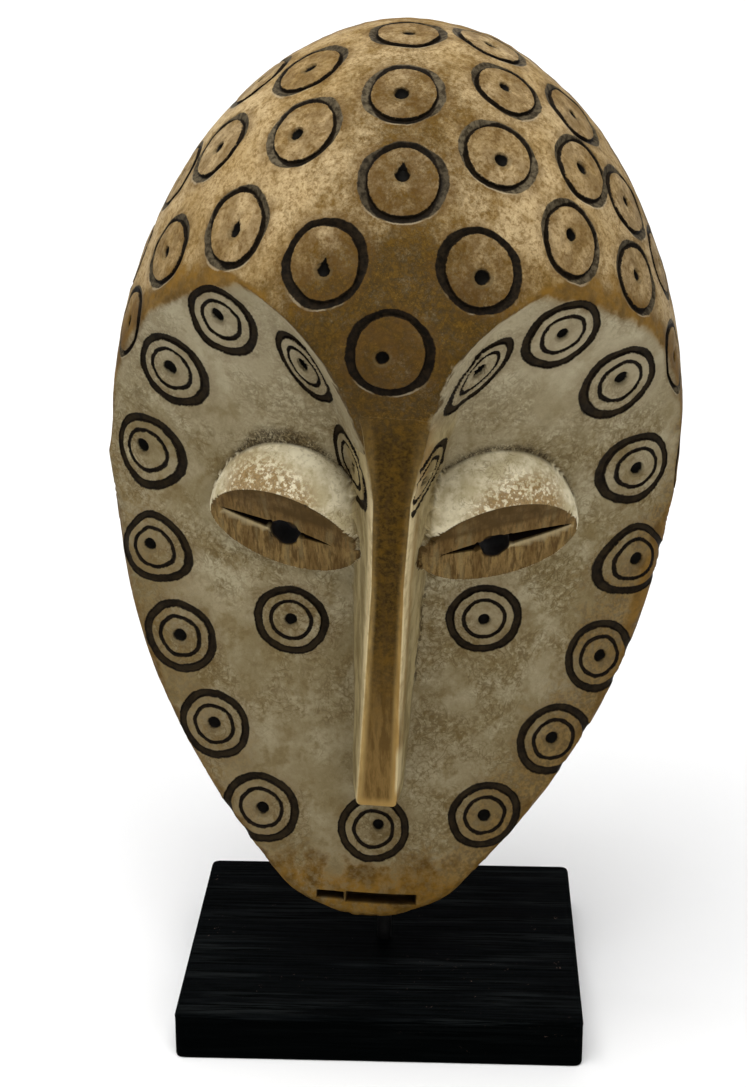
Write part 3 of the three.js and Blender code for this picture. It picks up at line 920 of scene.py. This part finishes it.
class Shade:
    """Short names for the shader nodes of one material. A colour is a node's socket or a code."""

    def __init__(self, name):
        self.material = bpy.data.materials.new(name)
        self.material.use_nodes = True
        self.tree = self.material.node_tree
        self.surface = self.tree.nodes["Principled BSDF"]
        self.place = self.tree.nodes.new("ShaderNodeTexCoord").outputs["Object"]

    def give(self, socket, value):
        if isinstance(value, bpy.types.NodeSocket):
            self.tree.links.new(value, socket)
        else:
            socket.default_value = tint(value) if isinstance(value, str) else value

    def node(self, kind, inputs=(), **settings):
        made = self.tree.nodes.new(kind)
        for key, value in settings.items():
            setattr(made, key, value)
        for key, value in dict(inputs).items():
            self.give(made.inputs[key], value)
        return made

    def mark(self, name):
        return self.node("ShaderNodeAttribute", attribute_name=name).outputs["Fac"]

    def math(self, operation, first, *others):
        """The values joined one after the other by an operation."""
        for other in others or (0.0,):
            first = self.node("ShaderNodeMath", {0: first, 1: other}, operation=operation).outputs[0]
        return first

    def times(self, *values):
        return self.math("MULTIPLY", *values)

    def plus(self, *values):
        return self.math("ADD", *values)

    def most(self, *values):
        return self.math("MAXIMUM", *values)

    def band(self, value, low, high, a=0.0, b=1.0):
        """Runs smoothly from a at low to b at high."""
        ends = {"From Min": low, "From Max": high, "To Min": a, "To Max": b}
        return self.node("ShaderNodeMapRange", {"Value": value, **ends},
                         interpolation_type="SMOOTHSTEP").outputs["Result"]

    def within(self, value, low, full, still_full, high):
        """Rises from low to full, and falls from still_full to high."""
        return self.times(self.band(value, low, full), self.band(value, high, still_full))

    def sway(self, cloud, most):
        """A cloud's ups and downs, as a shift of up to so much either way."""
        return self.band(cloud, 0.3, 0.7, -most, most)

    def stretched(self, x, y, z):
        return self.node("ShaderNodeMapping", {"Vector": self.place, "Scale": (x, y, z)}).outputs["Vector"]

    def clouds(self, size_mm, detail=3.0, rough=0.55, distort=0.0, vector=None):
        return self.node("ShaderNodeTexNoise", {"Vector": vector or self.place, "Scale": 1 / (size_mm * MM),
                                                "Detail": detail, "Roughness": rough,
                                                "Distortion": distort}).outputs["Fac"]

    def curls(self, size_mm, width):
        """Thin winding lines, where a cloud passes through its middle value."""
        cloud = self.clouds(size_mm, 2, 0.5, 1.0)
        return self.band(self.math("ABSOLUTE", self.math("SUBTRACT", cloud, 0.5)), width, 0.0)

    def mix(self, share, a, b):
        mixed = self.node("ShaderNodeMix", data_type="RGBA")
        for index, value in ((0, share), (6, a), (7, b)):
            self.give(mixed.inputs[index], value)
        return mixed.outputs[2]

    def between(self, value, low, high, a, b):
        """A colour that turns from a at low to b at high."""
        return self.mix(self.band(value, low, high), a, b)

    def over(self, colour, *layers):
        """The colour with layers laid over it: (share, layer), or (value, low, high, share, layer)
        for one that comes in up to its share as the value runs from low to high."""
        for *shown, layer in layers:
            share = shown[0] if len(shown) == 1 else self.band(*shown[:3], 0.0, shown[3])
            colour = self.mix(share, colour, layer)
        return colour

    def bump(self, height, distance_mm, strength):
        return self.node("ShaderNodeBump", {"Height": height, "Distance": distance_mm * MM,
                                            "Strength": strength}).outputs["Normal"]

    def finish(self, **sockets):
        for key, value in sockets.items():
            self.give(self.surface.inputs[key.replace("_", " ")], value)
        return self.material


def forehead_colour(s, middle, small, grit):
    """Tan wood, granular and blotched, that darkens to umber where the stain has gathered."""
    worn = s.band(s.clouds(24), 0.4, 0.62, 0.25, 1.0)
    crackle = s.most(s.curls(3.4, 0.06), s.times(s.curls(6, 0.05), 0.7))
    tan = s.over(
        s.between(s.clouds(38), 0.36, 0.64, "a58b5e", "c2aa7f"),
        (middle, 0.5, 0.68, 0.45, "876a38"),
        (small, 0.5, 0.66, 0.6, "775b31"),
        (small, 0.47, 0.32, 0.25, "cbb98f"),
        (s.times(crackle, worn, 0.45), "6b5028"),
        (grit, 0.52, 0.7, 0.35, "6d5430"))
    specks = s.times(s.band(grit, 0.5, 0.66), s.band(s.clouds(16), 0.4, 0.6, 0.1, 0.4))
    umber = s.over(umber_colour(s, middle, small), (specks, "80632a"), (s.times(crackle, 0.5), "2a1d09"))
    stain = s.plus(s.mark("brown"), s.sway(middle, 0.14), s.sway(small, 0.09), s.sway(grit, 0.1))
    return s.over(tan, (stain, 0.05, 1.0, 0.97, umber))


def umber_colour(s, middle, small):
    return s.over(s.between(small, 0.34, 0.66, "2f2208", "503a11"), (middle, 0.5, 0.7, 0.5, "5e4412"))


def face_colour(s, large, middle, small, grit):
    """Worn pale clay over the wood, with clouds and fine winding lines of brown."""
    up = s.mark("up")
    worn = s.band(s.clouds(30), 0.4, 0.6, 0.2, 1.0)
    curls = s.most(s.curls(9, 0.045), s.times(s.curls(4.5, 0.06), 0.75))
    edge = s.plus(s.mark("edge"), s.sway(middle, 14))
    # darker brown towards the outer edge of the face, and more so to the right
    edge_darkening = s.times(s.band(edge, 52, 12), s.band(s.mark("side"), -40, 60, 0.3, 0.72))
    return s.over(
        s.between(large, 0.35, 0.65, "7f7253", "93876a"),
        (s.clouds(21, 4, 0.6), 0.5, 0.68, 0.5, "a89f82"),
        (middle, 0.5, 0.66, 0.6, "6b5a36"),
        (s.times(curls, worn, 0.65), "51401f"),
        (s.times(s.band(small, 0.5, 0.66), worn, 0.6), "5f4d2a"),
        (s.times(s.band(small, 0.46, 0.34), worn, 0.45), "b0a686"),
        (grit, 0.52, 0.72, 0.3, "584d31"),
        # painted shade: the face is darker towards the chin, where less light falls; it is lighter towards
        # the brow
        (up, -10, -130, 0.3, "54472c"),
        (up, 20, 95, 0.35, "b6ac90"),
        (edge_darkening, s.between(small, 0.36, 0.64, "4a381b", "7a6236")))


def lid_colour(s, middle, small, grit):
    """Cream clay, rubbed through in specks over the edge of the eye."""
    worn = s.mark("worn")
    creases = s.times(s.curls(4, 0.05), s.band(s.clouds(14, 2), 0.45, 0.6), 0.5)
    specks = s.plus(s.clouds(2.0, 3, 0.6), s.band(s.mark("eta"), 12, 38, 0.13, 0.0))
    rubbed = s.between(grit, 0.35, 0.65, "6b4f28", "967848")
    return s.over(
        s.between(middle, 0.35, 0.65, "bbae8a", "e4dabb"),
        (small, 0.5, 0.68, 0.45, "9a8a62"),
        (creases, "75623c"),
        (s.times(worn, s.band(specks, 0.46, 0.54), 0.85), rubbed),
        (s.times(worn, s.band(small, 0.44, 0.32), 0.6), "e0d6b6"))


def eye_colour(s, middle, grit):
    """Bare wood of the two cut facets, with upright grain."""
    upright = s.stretched(1.0, 0.12, 0.16)
    grain, broad = (s.clouds(size, 3, 0.6, vector=upright) for size in (1.5, 6))
    # painted light: the lower facet is coloured a little lighter than the upper one
    high = s.between(grain, 0.36, 0.64, "4f3c20", "745c36")
    low = s.between(grain, 0.36, 0.64, "513d1f", "826a40")
    shade = s.times(s.band(s.mark("eta"), 9.0, 13.5), s.band(middle, 0.3, 0.6, 0.3, 0.9))
    return s.over(
        s.between(s.mark("lens"), 1.4, 1.6, high, low),
        (broad, 0.5, 0.62, 0.55, "57401e"),
        (broad, 0.45, 0.35, 0.4, "8a7a54"),
        (grit, 0.5, 0.7, 0.35, "3f2f18"),
        # painted highlight: a pale line under the slit
        (s.times(s.mark("lip_highlight"), 0.8), "b9aa84"),
        (shade, "46351a"))


def nose_colour(s, colour, middle, small):
    """Umber down the front, lighter to the tip, with pale edges, worn and with a painted highlight down the
    left one, and clay-smeared walls.
    """
    across, up, side = s.mark("nose"), s.mark("up"), s.mark("side")
    streaks = s.clouds(3.5, 4, 0.65, vector=s.stretched(1.0, 0.3, 0.16))
    right, low = s.band(side, 5.5, 8.0), s.band(up, 66, 46)
    worn = s.times(s.band(across, 0.5, 0.9), s.band(up, 0, -70, 0.25, 1.0),
                   s.band(streaks, 0.36, 0.6, 0.95, 0.5))
    amber = s.times(right, s.band(across, 0.62, 0.85), s.band(up, 0, -30), 0.4)
    front = s.over(
        umber_colour(s, middle, small),
        (up, -40, -130, 1.0, s.between(streaks, 0.36, 0.64, "58421f", "7c6236")),
        (streaks, 0.52, 0.66, 0.5, "3f2e13"),
        (worn, "a58a55"),
        (amber, "8a672f"),
        (up, -139, -145, 0.8, "a5854c"))
    smear = s.times(right, s.band(across, 1.5, 1.1), s.band(middle, 0.35, 0.6, 0.3, 1.0))
    wall = s.over(s.between(streaks, 0.36, 0.64, "786843", "a39369"), (smear, "8a6a38"))
    # pale line along the edges of the front: wear, and down the whole left edge a painted highlight
    edge = s.times(s.within(across, 0.88, 0.98, 1.12, 1.3), s.band(side, 5, -1, s.band(up, -105, -88), 1.0),
                   s.band(s.clouds(7, 4, 0.65), 0.34, 0.58, 0.5, 1.0),
                   s.band(up, 46, 10), s.band(up, -60, -115, 1.0, 0.55))
    patch = s.times(s.within(up, -140, -133, -118, -108), s.within(across, 0.8, 0.95, 1.25, 1.45),
                    right, 0.9)
    foot = s.times(s.within(across, 1.86, 1.95, 2.06, 2.16), s.within(up, -92, -84, -42, -34),
                   s.band(s.clouds(4), 0.47, 0.55), right, 0.8)
    return s.over(
        colour,
        (s.times(s.within(across, 0.98, 1.06, 1.85, 2.05), low, 0.8), wall),
        (s.times(s.band(across, 1.04, 0.96), low), front),
        (edge, "c9b78c"),
        (patch, "bfae84"),
        (foot, "3a2d18"))


def stained(s, colour, over, middle):
    """Golden-brown stain along the brow, the outer edge and round the mouth."""
    brow = s.times(s.band(over, 6, -1), s.band(over, -19, -6, 0.1, 1.0),
                   s.band(s.mark("brown"), 0.95, 0.5), 0.88)
    broad = s.times(s.band(s.mark("side"), 60, 105, 0.0, 9.0), s.band(s.mark("up"), -110, -30))
    edge = s.math("SUBTRACT", s.plus(s.mark("edge"), s.sway(middle, 3.5)), broad)
    up = s.plus(s.mark("up"), s.sway(middle, 9))
    chin = s.times(s.band(up, -182, -197), s.band(s.clouds(3.5, 3, 0.65), 0.38, 0.58, 0.5, 0.95))
    amber = s.between(middle, 0.35, 0.65, "4e3812", "795921")
    return s.over(colour, (s.most(brow, s.band(edge, 7.5, 1.0, 0.0, 0.85), chin), amber))


def inked(s, colour, small, speckle):
    """Black stain in the grooves: worn to grey on the wide bevels, to brown in the double rings."""
    double, below = s.mark("face_ring"), s.mark("below")
    single, doubled = s.band(double, 0.6, 0.4), s.band(double, 0.4, 0.6)
    wobble = s.band(s.clouds(5), 0.25, 0.75, -0.3, 0.3)
    radius = s.plus(s.mark("ring"), wobble, s.band(speckle, 0.2, 0.8, -0.2, 0.2))
    groove = s.within(radius, 13.9, 14.35, 18.1, 18.7)
    grooves = s.most(s.within(radius, 13.75, 14.2, 17.8, 18.35), s.within(radius, 8.45, 8.9, 10.5, 10.9))
    past_black = s.math("SUBTRACT", radius, s.band(s.mark("swing"), -0.6, 0.7, 17.8, 15.4))
    bevel = s.times(s.band(past_black, -0.3, 0.5), single, s.mark("tone"), 0.95)
    faded = s.times(s.within(radius, 14.7, 15.2, 17.1, 17.6), doubled,
                    s.band(s.clouds(8), 0.42, 0.6, 0.25, 1.0), 0.4)
    ink = s.over(
        s.between(small, 0.35, 0.7, "0d0904", "1e160c"),
        (bevel, s.between(small, 0.35, 0.65, "332b1e", "5f5542")),
        (faded, "352b1a"))
    near = s.times(s.band(radius, 25, 18), s.band(s.clouds(9), 0.35, 0.62, 0.15, 1.0))
    inside = s.times(s.band(radius, 14, 10, 1.0, 0.45), s.band(radius, 15.0, 13.9),
                     s.band(s.clouds(7), 0.35, 0.62, 0.3, 1.0))
    soil = s.times(s.most(near, inside), s.band(double, 0.4, 0.6, 1.0, 0.45), 0.55)
    # painted highlight: a pale line along the lower outer edge of the forehead rings, where the edge faces
    # the light
    rim = s.times(s.within(radius, 18.1, 18.6, 19.0, 19.5), single, s.band(below, 0.45, 0.85),
                  s.band(s.clouds(12, 2), 0.42, 0.55), 0.35)
    dot = s.plus(s.mark("dot"), s.times(wobble, 0.3))
    halo = s.times(s.within(dot, 0.95, 1.1, 1.3, 1.7), s.band(below, -0.2, 0.6, 0.1, 0.5))
    return s.over(
        colour,
        (soil, "50391a"),
        (s.band(double, 0.4, 0.6, groove, grooves), ink),
        (rim, "b0a58c"),
        (halo, "574a31"),
        (dot, 1.12, 0.92, 1.0, "0a0805"))


def mask_material():
    s = Shade("aged_wood_and_clay")
    large, middle, small = s.clouds(42), s.clouds(11, 4, 0.6), s.clouds(2.4, 3, 0.65)
    grit = s.clouds(1.0, 3, 0.75)

    over = s.plus(s.mark("clay"), s.sway(middle, 2.5))
    colour = s.between(over, -0.5, 2.5, forehead_colour(s, middle, small, grit),
                       face_colour(s, large, middle, small, grit))
    colour = stained(s, colour, over, middle)
    scribble = s.most(s.curls(3.2, 0.1), s.times(s.curls(1.8, 0.1), 0.8))
    colour = s.over(
        colour,
        (s.times(s.mark("smudge"), scribble, 0.95), "33291b"),
        (s.mark("lid"), lid_colour(s, middle, small, grit)),
        (s.mark("lens"), 0.4, 0.6, 1.0, eye_colour(s, middle, grit)))
    colour = inked(s, nose_colour(s, colour, middle, small), small, grit)

    raw = s.clouds(3, 4, 0.6, vector=s.stretched(1.0, 1.0, 0.1))
    raw = s.over(s.between(raw, 0.35, 0.65, "4f3a20", "7d6138"), (large, 0.45, 0.65, 0.6, "3d2c18"))
    # the cavity colour is painted shade, near black in the slits, the mouth and the eye holes
    colour = s.over(colour,
                    (s.mark("mark"), "140e07"), (s.mark("cavity_shade"), "0e0704"), (s.mark("inside"), raw))

    normal = s.bump(s.plus(s.times(small, 0.5), s.times(grit, 0.3)), 0.35, 0.5)
    return s.finish(Base_Color=colour, Roughness=s.band(middle, 0.3, 0.7, 0.58, 0.78), Normal=normal,
                    Specular_IOR_Level=0.05)


mask.data.materials.append(mask_material())


# Rod and block

def quads(lower, upper):
    """Faces between two closed rows of point numbers."""
    return list(zip(lower, np.roll(lower, -1), np.roll(upper, -1), upper))


def rod_object():
    radius, chamfer, low, around = 3.75, 0.8, 12.3, 48
    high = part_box("stand_rod")[1][2] / MM
    profile = [(radius - chamfer, low), (radius, low + chamfer)]
    profile += [(radius, z) for z in np.linspace(low + 8, high - 8, 60)]
    profile += [(radius, high - chamfer), (radius - chamfer, high)]
    points = [(r * math.cos(a), r * math.sin(a), z) for r, z in profile for a in full_turn(around)]
    rows = np.arange(len(points)).reshape(-1, around)
    faces = [face for pair in zip(rows, rows[1:]) for face in quads(*pair)]
    faces += [rows[0][::-1], rows[-1]]
    return mesh_object("rod_black", np.array(points) * MM, faces, smooth_angle=40)


def rod_material():
    s = Shade("black_rod")
    wear = s.clouds(6, 4, 0.6)
    colour = s.between(wear, 0.5, 0.75, "0b0b0c", "1d1c1b")
    normal = s.bump(s.clouds(1.2, 2), 0.05, 0.4)
    return s.finish(Base_Color=colour, Roughness=s.band(wear, 0.3, 0.7, 0.32, 0.5), Normal=normal,
                    Metallic=0.3)


rod = rod_object()
rod.data.materials.append(rod_material())
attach(rod, "root")
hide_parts("stand_rod")

BLOCK = (200.0, 168.0, 24.0)


def grain_height(x, y):
    """Raised grain of the block: long thin ridges along x that wander a little."""
    bend = 5 * noise.noise(Vector((x / 160, y / 70, 4.0)))
    ridge = noise.noise(Vector((x / 60, (y + bend) / 1.9, 1.0)))
    broad = noise.noise(Vector((x / 120, (y + bend) / 6.5, 8.0)))
    return 0.16 * ridge + 0.1 * broad


def stations(size, margins, first, last, step):
    """Places of the lines across a side: close together near its ends, and even between."""
    margins = np.array([0.0, *margins])
    even = np.arange(-size / 2 + first, size / 2 - last, step)
    return np.concatenate([-size / 2 + margins, even, size / 2 - margins[::-1]])


def block_object():
    """The block: a grid over the top that runs over its rounded edges and down the sides."""
    width, depth, height = BLOCK
    round_by, corner, sink = 1.6, 4.0, 0.25
    xs = stations(width, (0.5, 1.1, 2.0, 4.0), 7, 6, 3.2)
    ys = stations(depth, (0.5, 1.1, 2.0), 2.7, 2.3, 0.7)

    def settle(x, y):
        """Rounds the corners of the plan, and gives the distance to its edge."""
        ax, ay = abs(x), abs(y)
        cx, cy = width / 2 - corner, depth / 2 - corner
        if ax > cx and ay > cy:
            reach = math.hypot(ax - cx, ay - cy)
            square = max(ax - cx, ay - cy)
            if reach > 0:
                ax, ay = cx + (ax - cx) * square / reach, cy + (ay - cy) * square / reach
            inset = corner - square
        else:
            inset = min(width / 2 - ax, depth / 2 - ay)
        return math.copysign(ax, x), math.copysign(ay, y), inset

    points = []
    for x, y, inset in (settle(x, y) for x in xs for y in ys):
        fall = round_by - math.sqrt(max(round_by ** 2 - max(round_by - inset, 0) ** 2, 0))
        points.append((x, y, height - sink - fall + grain_height(x, y) * min(inset / 2, 1)))
    number = np.arange(len(points)).reshape(len(xs), len(ys))
    corners = number[:-1, :-1], number[1:, :-1], number[1:, 1:], number[:-1, 1:]
    faces = list(zip(*(each.ravel() for each in corners)))
    loop = np.concatenate([number[:, 0], number[-1, 1:], number[-2::-1, -1], number[0, -2:0:-1]])
    edge = [points[n] for n in loop]
    for z, inset in ((20.5, 0.0), (17, 0), (13, 0), (9, 0), (5, 0), (1.5, 0.0), (0.4, 0.5), (0.0, 1.4)):
        ring = []
        for x, y, _ in edge:
            reach = math.hypot(x, y)
            sway = 0.12 * (1 + noise.noise(Vector((x / 60, y / 60, z / 1.6)))) if 1 < z < 21 else 0
            ring.append(len(points))
            points.append((x - (inset + sway) * x / reach, y - (inset + sway) * y / reach, z))
        faces += quads(ring, loop)
        loop = ring
    faces.append(loop[::-1])
    return mesh_object("block_black", np.array(points) * MM, faces, smooth_angle=50)


def block_material():
    s = Shade("black_stained_wood")
    grain = s.clouds(1.6, 4, 0.65, vector=s.stretched(0.035, 1.0, 1.0))
    broad = s.clouds(9, 3, 0.5, vector=s.stretched(0.12, 1.0, 1.0))
    rise = s.node("ShaderNodeSeparateXYZ", {"Vector": s.place}).outputs["Z"]
    # painted sheen: the top is coloured lighter than the sides, with light streaks along the grain
    sheen_on_top = s.band(rise, 20.5 * MM, 23 * MM, 0.12, 1.0)
    sheen_streak = s.times(s.band(broad, 0.46, 0.66), s.band(grain, 0.4, 0.6), sheen_on_top, 0.6)
    fleck = s.times(s.band(s.clouds(3.2, 4, 0.7), 0.66, 0.72), s.band(s.clouds(38, 2), 0.52, 0.6), 0.5)
    colour = s.over(
        s.mix(s.times(s.band(grain, 0.4, 0.62), sheen_on_top), "020303", "0a0c0d"),
        (sheen_streak, "1e2121"), (fleck, "6d5a52"))
    normal = s.bump(s.plus(s.times(grain, 0.8), s.times(s.clouds(0.9, 2), 0.2)), 0.22, 0.8)
    return s.finish(Base_Color=colour, Roughness=s.band(grain, 0.35, 0.65, 0.45, 0.65), Normal=normal,
                    Specular_IOR_Level=0.002)


block = block_object()
block.data.materials.append(block_material())
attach(block, "root")
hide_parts("stand_base")


# Floor, light and camera

def floor_object():
    """A floor that runs up behind into a wall."""
    side, near_y, start, bend = 3.2, -1.9, 1.3, 0.9
    turn = np.linspace(0, math.pi / 2, 16)
    section = [(near_y, 0.0)] + [(start + bend * math.sin(a), bend * (1 - math.cos(a))) for a in turn]
    section.append((start + bend, 3.2))
    points = [(x, y, z) for y, z in section for x in (-side, side)]
    faces = [(2 * i, 2 * i + 1, 2 * i + 3, 2 * i + 2) for i in range(len(section) - 1)]
    floor = mesh_object("floor", points, faces, smooth_angle=60)
    s = Shade("pale_floor")
    pale = s.between(s.clouds(400, 2), 0.3, 0.7, "f6f6f6", "fbfbfb")
    floor.data.materials.append(s.finish(Base_Color=pale, Roughness=0.9))


def area_light(name, place, aim, size, watts):
    data = bpy.data.lights.new(name, "AREA")
    data.shape = "DISK"
    data.size = size
    data.energy = watts
    lamp = placed(name, data)
    lamp.location = place
    lamp.rotation_euler = (Vector(aim) - Vector(place)).to_track_quat("-Z", "Y").to_euler()


floor_object()
area_light("key", (-0.22, -0.55, 1.85), (0, 0, 0.2), 1.7, 38)
area_light("front", (0.9, -1.7, 1.1), (0, 0, 0.3), 1.0, 7)
area_light("wall", (0.0, 0.9, 1.6), (0, 2.2, 1.0), 1.6, 16)

world = bpy.data.worlds.new("studio")
bpy.context.scene.world = world
world.use_nodes = True
sky = world.node_tree.nodes["Background"].inputs
sky["Color"].default_value = (1, 1, 1, 1)
sky["Strength"].default_value = 0.3

camera_data = bpy.data.cameras.new("camera")
camera_data.lens = 68.56
camera_data.sensor_width = 36
camera_data.sensor_fit = "AUTO"
camera_data.clip_start = 0.05
camera = placed("camera", camera_data)
camera.location = (0.0347, -0.9700, 0.5564)
camera.rotation_euler = (math.radians(90 - 18.035), 0, math.radians(2.367))
bpy.context.scene.camera = camera
bpy.context.scene.view_settings.view_transform = "Standard"
